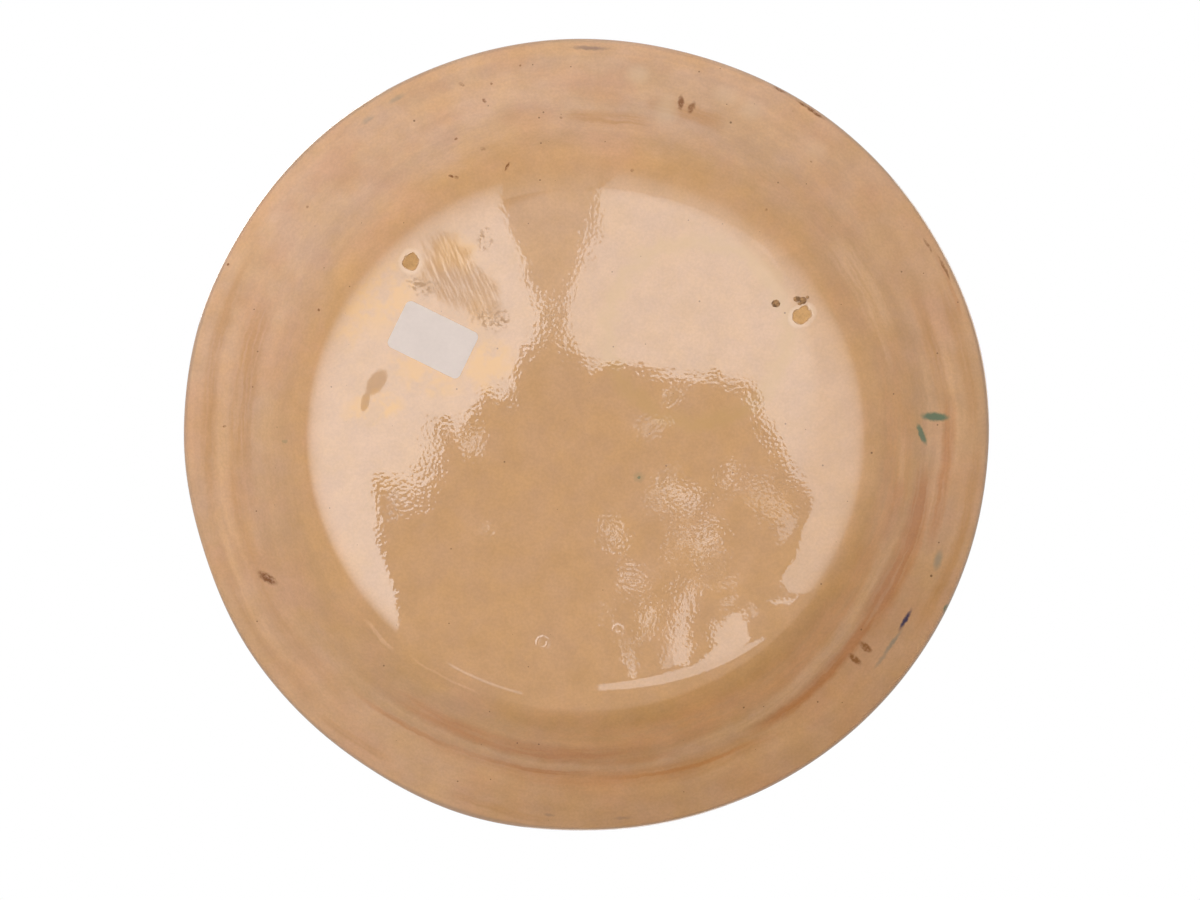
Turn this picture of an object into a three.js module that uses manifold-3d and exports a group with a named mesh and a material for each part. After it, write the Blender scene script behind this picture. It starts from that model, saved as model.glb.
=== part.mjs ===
// A hand-thrown earthenware plate with a wide flange, glazed all over, and a paper label under its base.
// Millimetres, +Z up: the plate rests on z = 0 with its food side up and its centre on the Z axis.
import * as THREE from "three";
import { mergeVertices } from "three/addons/utils/BufferGeometryUtils.js";
import Module from "manifold-3d";

// The finished outside of the plate, glaze included
const rimWidth = 264; // across the rim along X
const rimDepth = 260; // across the rim along Y: the plate is a little oval
const plateHeight = 35; // from the table to the top of the lip
const lipThickness = 5.5;
const creaseRadius = 113.5; // where the wall turns out into the flange, underneath
const creaseHeight = 22;
const wallThickness = 6.5;
const ringRadius = 80.4; // outer edge of the narrow flat ring that the plate rests on
const ringWidth = 3;
const recessDepth = 0.25; // hollow of the base inside the ring
const recessSlope = 2; // width of the slope between the hollow and the ring
const floorThickness = 7;
const shoulderRadius = 24; // rounding between the ring and the wall
const leastWall = 10; // straight stretch of wall that this rounding leaves at least
const wellFillet = 20; // rounding between the floor of the well and its wall

// The glaze coats, and the bare spots that the points of the kiln stilt left in the lower one
const glazeThickness = 0.4;
const bondGap = 0.01; // hair line between the clay and its glaze
const scarRadius = 3;
const scarAngles = [-135, -29.2]; // degrees round the ring, from +X towards +Y

// The paper label in the hollow of the base
const labelLength = 25.6;
const labelWidth = 16.2;
const labelThickness = 0.125;
const labelCorner = 1.2;
const labelInset = 20; // from the inner edge of the ring in to the middle of the label
const labelAngle = -147.9; // degrees round the plate
const labelTurn = 26.2; // degrees that its long side is turned from +X

// How finely the round forms are divided
const turnSteps = 72;
const shoulderSteps = 6;
const lipSteps = 6;
const filletSteps = 4;
const scarSteps = 24;
const cornerSteps = 4;
const mergeDistance = 1e-3; // vertices closer than this are one

const oval = rimWidth / rimDepth;
const ringInner = ringRadius - ringWidth;
const radians = THREE.MathUtils.degToRad;
const quarterTurn = Math.PI / 2;

// Outline helpers, in the half plane of radius and height
const at = (radius, height) => new THREE.Vector2(radius, height);

function along(angle) {
  return at(Math.cos(angle), Math.sin(angle));
}

function arcPoints(centre, radius, from, to, steps) {
  const curve = new THREE.EllipseCurve(centre.x, centre.y, radius, radius, from, to);
  return curve.getPoints(steps);
}

// The direction of the line from a point that touches a circle, with the circle on its left (1) or right (-1).
function tangentAngle(point, centre, radius, side) {
  const way = centre.clone().sub(point);
  return way.angle() - side * Math.asin(radius / way.length());
}

// The underside from the axis out to the lip, the lip, and the food side back in to the axis.
function finishedOutline() {
  const crease = at(creaseRadius, creaseHeight);
  const wallReach = crease.clone().sub(at(ringRadius, 0));
  const roomyShoulder = (wallReach.lengthSq() - leastWall ** 2) / (2 * creaseHeight);
  const shoulder = Math.min(shoulderRadius, roomyShoulder);
  const shoulderCentre = at(ringRadius, shoulder);
  const wallAngle = tangentAngle(crease, shoulderCentre, shoulder, -1) - Math.PI;

  const lipRadius = lipThickness / 2;
  const lipCentre = at(rimDepth / 2 - lipRadius, plateHeight - lipRadius);
  const flangeAngle = tangentAngle(crease, lipCentre, lipRadius, 1);

  const halfBend = (wallAngle - flangeAngle) / 2;
  const creaseNormal = along(flangeAngle + halfBend + quarterTurn);
  const upperCrease = creaseNormal.multiplyScalar(wallThickness / Math.cos(halfBend)).add(crease);
  const upperFlangeAngle = tangentAngle(upperCrease, lipCentre, lipRadius, -1);

  const floorHeight = recessDepth + floorThickness;
  const floorCorner = upperCrease.x - (upperCrease.y - floorHeight) / Math.tan(wallAngle);
  const floorRadius = floorCorner - wellFillet * Math.tan(wallAngle / 2);
  const filletCentre = at(floorRadius, floorHeight + wellFillet);

  const underside = [
    at(0, recessDepth),
    at(ringInner - recessSlope, recessDepth),
    at(ringInner, 0),
    ...arcPoints(shoulderCentre, shoulder, -quarterTurn, wallAngle - quarterTurn, shoulderSteps),
    crease,
  ];
  const lip = arcPoints(
    lipCentre,
    lipRadius,
    flangeAngle - quarterTurn,
    upperFlangeAngle + quarterTurn,
    lipSteps,
  );
  const face = [
    upperCrease,
    ...arcPoints(filletCentre, wellFillet, -quarterTurn, wallAngle - quarterTurn, filletSteps).reverse(),
    at(0, floorHeight),
  ];
  return { points: [...underside, ...lip, ...face], lipStart: underside.length };
}

// The same outline moved in by a depth, with each point still on its own stretch.
function movedIn(points, depth) {
  const normals = points.slice(1).map((next, i) => {
    const way = next.clone().sub(points[i]).normalize();
    return at(-way.y, way.x);
  });
  return points.map((point, i) => {
    const before = normals[Math.max(i - 1, 0)];
    const after = normals[Math.min(i, normals.length - 1)];
    const middle = before.clone().add(after).normalize();
    return middle.multiplyScalar(depth / middle.dot(before)).add(point);
  });
}

// A turned piece: three.js turns a profile about Y, so it is laid over to +Z and drawn out to the oval.
function turned(points) {
  const geometry = new THREE.LatheGeometry(points, turnSteps);
  return geometry.rotateX(quarterTurn).scale(oval, 1, 1);
}

// A place on the base, by its distance from the centre along Y and its angle round the plate.
function placeOnBase(distance, degrees) {
  const place = along(radians(degrees)).multiplyScalar(distance);
  return at(place.x * oval, place.y);
}

// Solids for cutting
const wasm = await Module();
wasm.setup();

function solidOf(geometry) {
  const bare = geometry.clone();
  bare.deleteAttribute("normal");
  bare.deleteAttribute("uv");
  const merged = mergeVertices(bare, mergeDistance);
  return new wasm.Manifold(
    new wasm.Mesh({
      numProp: 3,
      vertProperties: merged.attributes.position.array,
      triVerts: new Uint32Array(merged.index.array),
    }),
  );
}

function geometryOf(solid) {
  const { vertProperties, triVerts } = solid.getMesh();
  const geometry = new THREE.BufferGeometry();
  geometry.setAttribute("position", new THREE.BufferAttribute(vertProperties, 3));
  geometry.setIndex(new THREE.BufferAttribute(triVerts, 1));
  geometry.computeVertexNormals();
  return geometry;
}

// One cutter for each stilt scar, in the middle of the ring and long enough to pass right through the coat
function scarCutter(degrees) {
  const length = 2 * (recessDepth + glazeThickness + scarRadius);
  const place = placeOnBase(ringRadius - ringWidth / 2, degrees);
  const geometry = new THREE.CylinderGeometry(scarRadius, scarRadius, length, scarSteps);
  return solidOf(geometry.rotateX(quarterTurn).translate(place.x, place.y, 0));
}

function labelShape() {
  const x = labelLength / 2 - labelCorner;
  const y = labelWidth / 2 - labelCorner;
  const shape = new THREE.Shape();
  shape.absarc(x, -y, labelCorner, -quarterTurn, 0);
  shape.absarc(x, y, labelCorner, 0, quarterTurn);
  shape.absarc(-x, y, labelCorner, quarterTurn, Math.PI);
  shape.absarc(-x, -y, labelCorner, Math.PI, Math.PI + quarterTurn);
  return shape;
}

const { points: finished, lipStart } = finishedOutline();
const coatInside = movedIn(finished, glazeThickness);
const clay = movedIn(finished, glazeThickness + bondGap);

function piece(name, geometry, color, roughness) {
  const mesh = new THREE.Mesh(geometry, new THREE.MeshStandardMaterial({ color, roughness, metalness: 0 }));
  mesh.name = name;
  return mesh;
}

// The thrown clay
const clayBody = piece("clay_body", turned(clay), 0xb5824f, 0.85);

// The upper coat covers the food side and laps over the lip.
const faceCoat = [...coatInside.slice(lipStart).reverse(), ...finished.slice(lipStart)];
const faceGlaze = piece("face_glaze", turned(faceCoat), 0xc89b70, 0.15);

// The lower coat butts against it under the lip and is bare at the stilt scars.
const backCoat = [...finished.slice(0, lipStart + 1), ...coatInside.slice(0, lipStart + 1).reverse()];
const pierced = scarAngles.map(scarCutter).reduce(
  (coat, cutter) => coat.subtract(cutter),
  solidOf(turned(backCoat)),
);
const backGlaze = piece("back_glaze", geometryOf(pierced), 0xc69a70, 0.15);

// The label lies flat against the hollow of the base.
const labelGeometry = new THREE.ExtrudeGeometry(labelShape(), {
  depth: labelThickness,
  bevelEnabled: false,
  curveSegments: cornerSteps,
});
const paperLabel = piece("paper_label", labelGeometry, 0xe6e2dc, 0.8);
const labelPlace = placeOnBase(ringInner - labelInset, labelAngle);
paperLabel.position.set(labelPlace.x, labelPlace.y, recessDepth - labelThickness);
paperLabel.rotation.z = radians(labelTurn);

const plate = new THREE.Group();
plate.add(clayBody, faceGlaze, backGlaze, paperLabel);

export default plate;
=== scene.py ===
import math

import bpy
import numpy as np
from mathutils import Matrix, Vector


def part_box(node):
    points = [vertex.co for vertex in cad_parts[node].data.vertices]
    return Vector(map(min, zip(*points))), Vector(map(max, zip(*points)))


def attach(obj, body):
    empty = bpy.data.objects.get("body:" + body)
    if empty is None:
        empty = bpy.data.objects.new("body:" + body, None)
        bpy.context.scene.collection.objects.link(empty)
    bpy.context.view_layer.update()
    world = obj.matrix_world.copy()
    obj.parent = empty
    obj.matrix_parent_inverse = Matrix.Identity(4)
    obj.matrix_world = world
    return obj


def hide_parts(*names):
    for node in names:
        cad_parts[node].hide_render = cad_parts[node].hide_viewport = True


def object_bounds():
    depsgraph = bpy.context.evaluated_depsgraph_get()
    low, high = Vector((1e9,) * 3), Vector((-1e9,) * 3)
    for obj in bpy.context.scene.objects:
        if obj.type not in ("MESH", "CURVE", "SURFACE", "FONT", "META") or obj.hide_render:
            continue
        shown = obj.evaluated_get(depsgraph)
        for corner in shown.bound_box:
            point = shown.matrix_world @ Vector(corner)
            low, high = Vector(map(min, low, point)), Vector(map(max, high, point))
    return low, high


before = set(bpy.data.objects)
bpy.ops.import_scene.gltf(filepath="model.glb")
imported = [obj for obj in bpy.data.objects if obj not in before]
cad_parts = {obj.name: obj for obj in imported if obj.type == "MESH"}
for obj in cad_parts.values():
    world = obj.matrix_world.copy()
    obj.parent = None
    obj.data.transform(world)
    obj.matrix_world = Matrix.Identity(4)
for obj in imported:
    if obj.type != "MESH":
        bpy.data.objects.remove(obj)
cadLow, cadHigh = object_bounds()
scene = bpy.context.scene
scene.view_settings.view_transform = "Standard"
mm = 0.001
print("frame loaded, box", [round(side / mm, 1) for side in cadHigh - cadLow])


# The photo looks straight up at the base, with +X to the right and +Y down the picture
photoView = {
    "below": 2.0,  # from the table to the lens, in metres
    "lens": 185.8,
    "sensor": 36,
    "clip": (0.1, 60),
    "middle": (585.93, 434.53),  # pixel of the photo where the axis of the plate meets its base
    "pixelsPerMm": 3.097,  # at the base
    "aside": (4.6 * mm, 5.1 * mm),  # the plate isn't quite in the middle of the picture
}


def setCamera(view):
    bpy.ops.object.camera_add(location=(*view["aside"], -view["below"]), rotation=(math.pi, 0, 0))
    camera = bpy.context.object
    camera.data.sensor_width = view["sensor"]
    camera.data.lens = view["lens"]
    camera.data.clip_start, camera.data.clip_end = view["clip"]
    scene.camera = camera


setCamera(photoView)
print("camera set")


# Small helpers for node trees
def newFinish(name):
    finish = bpy.data.materials.new(name)
    finish.use_nodes = True
    return finish, finish.node_tree, finish.node_tree.nodes["Principled BSDF"]


def feed(tree, socket, value):
    if isinstance(value, bpy.types.NodeSocket):
        tree.links.new(value, socket)
    elif isinstance(value, tuple) and len(value) == 3 and socket.type == "RGBA":
        socket.default_value = (*value, 1)
    else:
        socket.default_value = value


def calc(tree, operation, *values):
    node = tree.nodes.new("ShaderNodeMath")
    node.operation = operation
    for socket, value in zip(node.inputs, values):
        feed(tree, socket, value)
    return node.outputs[0]


def times(tree, first, second):
    return calc(tree, "MULTIPLY", first, second)


def ramp(tree, value, low, high, start=0.0, end=1.0):
    node = tree.nodes.new("ShaderNodeMapRange")
    node.interpolation_type = "SMOOTHSTEP"
    feed(tree, node.inputs["Value"], value)
    for name, number in zip(("From Min", "From Max", "To Min", "To Max"), (low, high, start, end)):
        node.inputs[name].default_value = number
    return node.outputs["Result"]


def tint(tree, amount, under, over, way="MIX"):
    node = tree.nodes.new("ShaderNodeMix")
    node.data_type = "RGBA"
    node.blend_type = way
    feed(tree, node.inputs[0], amount)
    feed(tree, node.inputs[6], under)
    feed(tree, node.inputs[7], over)
    return node.outputs[2]


def grain(tree, where, size, detail=2.0, rough=0.5):
    node = tree.nodes.new("ShaderNodeTexNoise")
    feed(tree, node.inputs["Vector"], where)
    node.inputs["Scale"].default_value = 1 / size
    node.inputs["Detail"].default_value = detail
    node.inputs["Roughness"].default_value = rough
    return node.outputs["Fac"]


def moved(tree, where, shift=(0, 0, 0), turn=0.0, size=(1, 1, 1)):
    node = tree.nodes.new("ShaderNodeMapping")
    node.vector_type = "TEXTURE"
    feed(tree, node.inputs["Vector"], where)
    node.inputs["Location"].default_value = shift
    node.inputs["Rotation"].default_value = (0, 0, math.radians(turn))
    node.inputs["Scale"].default_value = size
    return node.outputs["Vector"]


def reach(tree, where):
    node = tree.nodes.new("ShaderNodeVectorMath")
    node.operation = "LENGTH"
    feed(tree, node.inputs[0], where)
    return node.outputs["Value"]


def objectPlace(tree):
    return tree.nodes.new("ShaderNodeTexCoord").outputs["Object"]


# Selecting in code, for the edit mode operators
def setMode(mode):
    bpy.ops.object.mode_set(mode=mode)


def selectNone():
    if bpy.context.object and bpy.context.object.mode != "OBJECT":
        setMode("OBJECT")
    bpy.ops.object.select_all(action="DESELECT")


def selectAll():
    bpy.ops.mesh.select_all(action="SELECT")


def places(piece):
    flat = np.empty(len(piece.data.vertices) * 3)
    piece.data.vertices.foreach_get("co", flat)
    return flat.reshape(-1, 3)


def pick(piece, chosen):
    data = piece.data
    data.vertices.foreach_set("select", chosen)
    data.edges.foreach_set("select", np.zeros(len(data.edges), bool))
    data.polygons.foreach_set("select", np.zeros(len(data.polygons), bool))
    setMode("EDIT")
    bpy.context.tool_settings.mesh_select_mode = (True, False, False)


def choose(piece):
    selectNone()
    bpy.context.view_layer.objects.active = piece
    piece.select_set(True)


def pull(move, fade):
    bpy.ops.transform.translate(
        value=[side * mm for side in move], use_proportional_edit=True,
        proportional_edit_falloff="SMOOTH", proportional_size=fade * mm,
    )
    setMode("OBJECT")


def applyAll(piece):
    bpy.context.view_layer.objects.active = piece
    for step in list(piece.modifiers):
        bpy.ops.object.modifier_apply(modifier=step.name)


def roughen(piece, width, height, way="NORMAL", detail=2):
    clouds = bpy.data.textures.new("clouds", "CLOUDS")
    clouds.noise_scale = width * mm
    clouds.noise_depth = detail
    rough = piece.modifiers.new("rough", "DISPLACE")
    rough.texture = clouds
    rough.texture_coords = "LOCAL"
    rough.direction = way
    rough.strength = height * mm


# The thrown form, in millimetres along the short way of the oval rim
plateForm = {
    "flatRadius": 64.0,  # the base is flat to here and then rolls up slowly
    "rollReach": 12.0,
    "rollLead": 0.8,  # how early the slow roll takes up the slope of the shoulder
    "hollow": 0.25,
    "ringRadius": 80.4,
    "shoulder": 24.0,
    "shoulderStart": 23.6,  # degrees of the shoulder where the slow roll joins it
    "creaseRadius": 111.5,
    "creaseHeight": 20.15,
    "creaseEase": 5.0,  # how far the soft crease reaches along the wall and the flange
    "upperEase": 6.0,  # the upper crease is softer still
    "wall": 6.5,
    "lip": 5.5,
    "floor": 7.0,
    "wellFillet": 20.0,
    "ringPitch": 6.5,  # throwing rings on the food side
    "ringDepth": 0.07,
    "ringFade": (12, 8),  # how far in from the middle and from the wall the rings reach their depth
    "glaze": 0.4,
    "hair": 0.05,  # between the clay and its glaze
    "step": 1.3,  # length of one step along the outline
    "turns": 288,
    "clayTurns": 96,
}
rimRadius = cadHigh.y / mm
plateHeight = cadHigh.z / mm
oval = cadHigh.x / cadHigh.y


def along(start, end, step):
    count = max(1, round(math.dist(start, end) / step))
    return [tuple(a + (b - a) * i / count for a, b in zip(start, end)) for i in range(1, count + 1)]


def bend(first, second, third, fourth, step):
    count = max(3, round(math.dist(first, fourth) / step))
    corners = (first, second, third, fourth)
    points = []
    for i in range(1, count + 1):
        t = i / count
        shares = ((1 - t) ** 3, 3 * t * (1 - t) ** 2, 3 * t * t * (1 - t), t ** 3)
        points.append(tuple(sum(s * p[k] for s, p in zip(shares, corners)) for k in (0, 1)))
    return points


def arc(centre, radius, start, end, step):
    count = max(3, round(abs(end - start) * radius / step))
    angles = [start + (end - start) * i / count for i in range(1, count + 1)]
    return [(centre[0] + radius * math.cos(a), centre[1] + radius * math.sin(a)) for a in angles]


def touch(point, centre, radius, side):
    way = (centre[0] - point[0], centre[1] - point[1])
    return math.atan2(way[1], way[0]) - side * math.asin(radius / math.hypot(*way))


def plateOutline(form):
    step = form["step"]
    crease = (form["creaseRadius"], form["creaseHeight"])
    shoulderCentre = (form["ringRadius"], form["shoulder"])
    wallAngle = touch(crease, shoulderCentre, form["shoulder"], -1) - math.pi
    lipRadius = form["lip"] / 2
    lipCentre = (rimRadius - lipRadius, plateHeight - lipRadius)
    flangeAngle = touch(crease, lipCentre, lipRadius, 1)

    # base and slow roll into the shoulder
    flat = (form["flatRadius"], form["hollow"])
    start = math.radians(form["shoulderStart"])
    join = (
        shoulderCentre[0] + form["shoulder"] * math.sin(start),
        shoulderCentre[1] - form["shoulder"] * math.cos(start),
    )
    lead = (join[1] - form["hollow"]) * form["rollLead"] / math.sin(start)
    before = (join[0] - lead * math.cos(start), join[1] - lead * math.sin(start))
    under = [(0.0, form["hollow"])] + along((0.0, form["hollow"]), flat, step)
    under += bend(flat, (flat[0] + form["rollReach"], flat[1]), before, join, step)
    under += arc(shoulderCentre, form["shoulder"], start - math.pi / 2, wallAngle - math.pi / 2, step)

    # wall, soft crease and flange
    ease = form["creaseEase"]
    wallEnd = (crease[0] - ease * math.cos(wallAngle), crease[1] - ease * math.sin(wallAngle))
    flangeStart = (crease[0] + ease * math.cos(flangeAngle), crease[1] + ease * math.sin(flangeAngle))
    under += along(under[-1], wallEnd, step)
    under += bend(wallEnd, crease, crease, flangeStart, step * 0.6)
    lipStart = flangeAngle - math.pi / 2
    foot = (lipCentre[0] + lipRadius * math.cos(lipStart), lipCentre[1] + lipRadius * math.sin(lipStart))
    under += along(under[-1], foot, step)

    # lip and food side
    half = (wallAngle - flangeAngle) / 2
    normal = flangeAngle + half + math.pi / 2
    thick = form["wall"] / math.cos(half)
    upper = (crease[0] + thick * math.cos(normal), crease[1] + thick * math.sin(normal))
    upperAngle = touch(upper, lipCentre, lipRadius, -1)
    over = arc(lipCentre, lipRadius, lipStart, upperAngle + math.pi / 2, step * 0.5)
    floorHeight = form["hollow"] + form["floor"]
    floorRadius = upper[0] - (upper[1] - floorHeight) / math.tan(wallAngle)
    floorRadius -= form["wellFillet"] * math.tan(wallAngle / 2)
    filletCentre = (floorRadius, floorHeight + form["wellFillet"])
    filletTop = (
        filletCentre[0] + form["wellFillet"] * math.sin(wallAngle),
        filletCentre[1] - form["wellFillet"] * math.cos(wallAngle),
    )
    ease = form["upperEase"]
    brow = (upper[0] + ease * math.cos(upperAngle), upper[1] + ease * math.sin(upperAngle))
    chin = (upper[0] - ease * math.cos(wallAngle), upper[1] - ease * math.sin(wallAngle))
    over += along(over[-1], brow, step)
    over += bend(brow, upper, upper, chin, step)
    over += along(chin, filletTop, step)
    over += arc(filletCentre, form["wellFillet"], wallAngle - math.pi / 2, -math.pi / 2, step)
    for radius, height in along(over[-1], (0.0, floorHeight), step):
        inner, outer = form["ringFade"]
        fade = min(radius / inner, (floorRadius - radius) / outer, 1)
        wave = math.sin(2 * math.pi * radius / form["ringPitch"])
        over.append((radius, height + form["ringDepth"] * max(fade, 0) * wave))
    return under, over


# Studio: a one-sided pale floor, softboxes under the plate for the photo and lamps above it for the food side
studio = {
    "floorRadius": 2.0,
    "floorColour": (0.86, 0.855, 0.845),
    "softboxDepth": 2.05,  # how far under the table the softboxes hang
    "softboxColour": (0.97, 1.0, 1.045, 1),
    "ambient": 0.54,
    "ambientLean": (-0.17, -0.26, 0.0),  # more light from the left and from the top of the picture
    "flagPlace": (0.8, 1.5, -0.75),  # dark card that keeps shine off the lower right of the picture
    "flagSize": (5.2, 2.9),
}

# Crops of the photo, enlarged to pick the corners of the mirrored lights: left, top and width in
# pixels of the photo, then the width of the enlarged crop
photoCrops = {
    "lowerRight": (590, 440, 240, 1447),
    "left": (300, 330, 260, 1315),
    "top": (480, 170, 220, 1380),
    "upperRight": (600, 250, 280, 1568),
}
rightEdge = [
    ("top", [
        (735, 150), (735, 250), (712, 340), (692, 440), (670, 520), (620, 600), (555, 770), (525, 900),
        (540, 1040), (528, 1090), (600, 1180), (720, 1240), (830, 1235),
    ]),
    ("upperRight", [
        (140, 630), (260, 675), (430, 715), (560, 730), (640, 710), (760, 752), (830, 745), (880, 850),
        (910, 980), (990, 1100),
    ]),
    ("lowerRight", [(1200, 170), (1290, 260)]),
]
# Broken light from between the two sides
brightGlints = {
    "left": [
        [(830, 570), (880, 540), (940, 490), (945, 510), (910, 580), (880, 660), (850, 620)],
        [(925, 985), (960, 985), (985, 1010), (935, 1025)],
    ],
    "lowerRight": [
        [(430, 270), (500, 255), (560, 300), (680, 330), (640, 390), (600, 420), (540, 380), (440, 370)],
        [(840, 140), (880, 150), (850, 230), (800, 300), (780, 290), (810, 220)],
        [(80, 480), (130, 470), (150, 550), (215, 610), (180, 640), (100, 620), (110, 560)],
        [(190, 780), (240, 760), (260, 820), (330, 890), (260, 900), (200, 840)],
        [(540, 540), (590, 530), (600, 610), (570, 630), (540, 600)],
        [(500, 590), (530, 710), (470, 700)],
        [(640, 660), (680, 540), (730, 495), (780, 550), (800, 640), (770, 680), (740, 600), (700, 600),
         (690, 750), (650, 730)],
        [(555, 860), (600, 920), (620, 830), (655, 820), (645, 930), (610, 1010), (605, 1360),
         (495, 1360), (495, 1180), (510, 1080), (540, 1000)],
        [(310, 1010), (385, 990), (375, 1110), (340, 1190), (300, 1250), (320, 1130)],
        [(50, 990), (110, 1030), (125, 1085), (95, 1075)],
        [(190, 1200), (215, 1210), (290, 1430), (250, 1450)],
        [(730, 1080), (770, 1090), (800, 1130), (830, 1050), (930, 1040), (970, 1200), (930, 1240),
         (840, 1300), (700, 1350), (650, 1350), (740, 1250)],
        [(1060, 960), (1230, 965), (1260, 950), (1200, 1000), (1120, 990)],
    ],
    "upperRight": [
        [(350, 820), (430, 795), (450, 820), (400, 840)],
    ],
}
faintGlints = {
    "lowerRight": [
        [(330, 330), (370, 310), (440, 380), (400, 430), (350, 400)],
        [(400, 240), (530, 150), (560, 170), (460, 240)],
        [(480, 440), (560, 430), (600, 440), (560, 480), (510, 470)],
        [(960, 260), (1040, 250), (1080, 330), (1180, 400), (1260, 490), (1220, 560), (1170, 620),
         (1140, 600), (1150, 540), (1090, 450), (980, 400)],
        [(330, 790), (370, 780), (400, 830), (370, 840)],
        [(460, 1150), (480, 1160), (490, 1370), (420, 1390), (440, 1290)],
        [(745, 690), (765, 690), (772, 830), (870, 830), (910, 890), (860, 890), (770, 880), (750, 800)],
        [(780, 970), (860, 960), (880, 1010), (800, 1010)],
        [(940, 990), (990, 1000), (1010, 1050), (990, 1080)],
    ],
    "upperRight": [
        [(190, 960), (300, 960), (410, 950), (400, 990), (320, 1010), (260, 1080), (240, 1020)],
    ],
}
# Softboxes: runs of corners, picked on a crop or, for the base, given in millimetres as the places on the
# flat base where they are mirrored. How one fades: middle and half sizes of an oval, then the shares of it
# where the fading starts and ends. One may hang a little behind or before the others, and fade to the level
# of the one behind it
sideFade = ((0, 60), (470, 270), (0.45, 1.7))
softboxes = {
    "left": {
        "level": 6.6,
        "fade": sideFade,
        "outlines": [[
            ("base", [(-130, -420)]),
            ("top", [
                (135, 200), (150, 250), (195, 340), (220, 440), (250, 520), (300, 620), (352, 760),
                (400, 840), (430, 900), (415, 980), (370, 1050), (270, 1150), (230, 1260),
            ]),
            ("left", [
                (1070, 270), (1070, 350), (1050, 375), (1000, 340), (960, 305), (920, 330), (900, 410),
                (845, 450), (825, 540), (790, 545), (760, 490), (700, 460), (688, 490), (712, 620),
                (690, 690), (650, 760), (610, 850), (565, 850), (530, 810), (470, 850), (440, 780),
                (385, 770), (375, 810), (405, 950), (395, 1060), (430, 1180), (470, 1260), (490, 1330),
                (503, 1450), (507, 1520),
            ]),
            ("base", [(-520, 560), (-760, 640), (-760, -420)]),
        ]],
    },
    "right": {
        "level": 4.4,
        "fade": sideFade,
        "outlines": [[
            ("base", [(60, -420)]),
            *rightEdge,
            ("lowerRight", [
                (1330, 350), (1340, 420), (1290, 500), (1260, 620), (1240, 720), (1170, 800), (1150, 880),
                (1200, 930), (1270, 940),
            ]),
            ("base", [(760, 520), (760, -420)]),
        ]],
    },
    "back": {
        "level": 2.4,
        "fade": sideFade,
        "outlines": [[("base", [(-66, -184), (7.5, -190), (60, -420), (-130, -420)])]],
    },
    "front": {
        "level": 4.4,
        "outlines": [[("base", [
            (11, 207), (62, 203), (131, 219), (246, 290), (304, 358), (197, 330), (85, 278), (13, 248),
        ])]],
    },
    "gap": {
        "level": 2.3,
        "behind": 0.02,
        "fade": ((-10, -110), (60, 100), (0.5, 1.0)),
        "outlines": [[("base", [(-75, -5), (55, -5), (55, -215), (-75, -215)])]],
    },
    "crown": {
        "level": 5.9,
        "rest": 4.4,
        "behind": -0.02,
        "fade": ((45, -75), (90, 90), (0.75, 1.35)),
        "outlines": [[*rightEdge, ("base", [(175, 22), (175, -185), (8, -185)])]],
    },
    "thread": {
        "level": 3.0,
        "outlines": [[("base", [(-85, 340), (-180, 300), (-195, 345), (-92, 392)])]],
    },
    "glints": {
        "level": 5.0,
        "behind": -0.01,
        "outlines": [[(crop, run)] for crop, runs in brightGlints.items() for run in runs],
    },
    "faintGlints": {
        "level": 3.2,
        "behind": -0.01,
        "outlines": [[(crop, run)] for crop, runs in faintGlints.items() for run in runs],
    },
}
mirrorStep = 0.1  # millimetres along the underside between the places where its tilt is known
mirrorLine = np.array(plateOutline({**plateForm, "step": mirrorStep})[0])
mirrorTilt = np.arctan2(np.gradient(mirrorLine[:, 1]), np.gradient(mirrorLine[:, 0]))


def mirrored(corner):
    throw = studio["softboxDepth"] / photoView["below"]
    return [corner[i] * mm * (1 + throw) - photoView["aside"][i] * throw for i in (0, 1)]


# Where the light hangs that the photo shows at this corner, by the law of mirrors
def lightPlace(source, corner):
    if source == "base":
        return mirrored(corner)
    left, top, width, enlarged = photoCrops[source]
    pixel = np.array((left, top)) + np.array(corner) * width / enlarged
    x, y = (pixel - photoView["middle"]) / photoView["pixelsPerMm"]
    radius = max(math.hypot(x / oval, y), 1e-6)
    tilt = np.interp(radius, mirrorLine[:, 0], mirrorTilt)
    spot = np.array((x, y, np.interp(radius, mirrorLine[:, 0], mirrorLine[:, 1]))) * mm
    lean = math.sin(tilt) / radius
    normal = np.array((x / oval * lean, y * lean, -math.cos(tilt)))
    view = spot - (*photoView["aside"], -photoView["below"])
    turned = view - 2 * view.dot(normal) * normal
    place = spot - turned * (studio["softboxDepth"] + spot[2]) / turned[2]
    return [place[0], place[1]]


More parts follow.
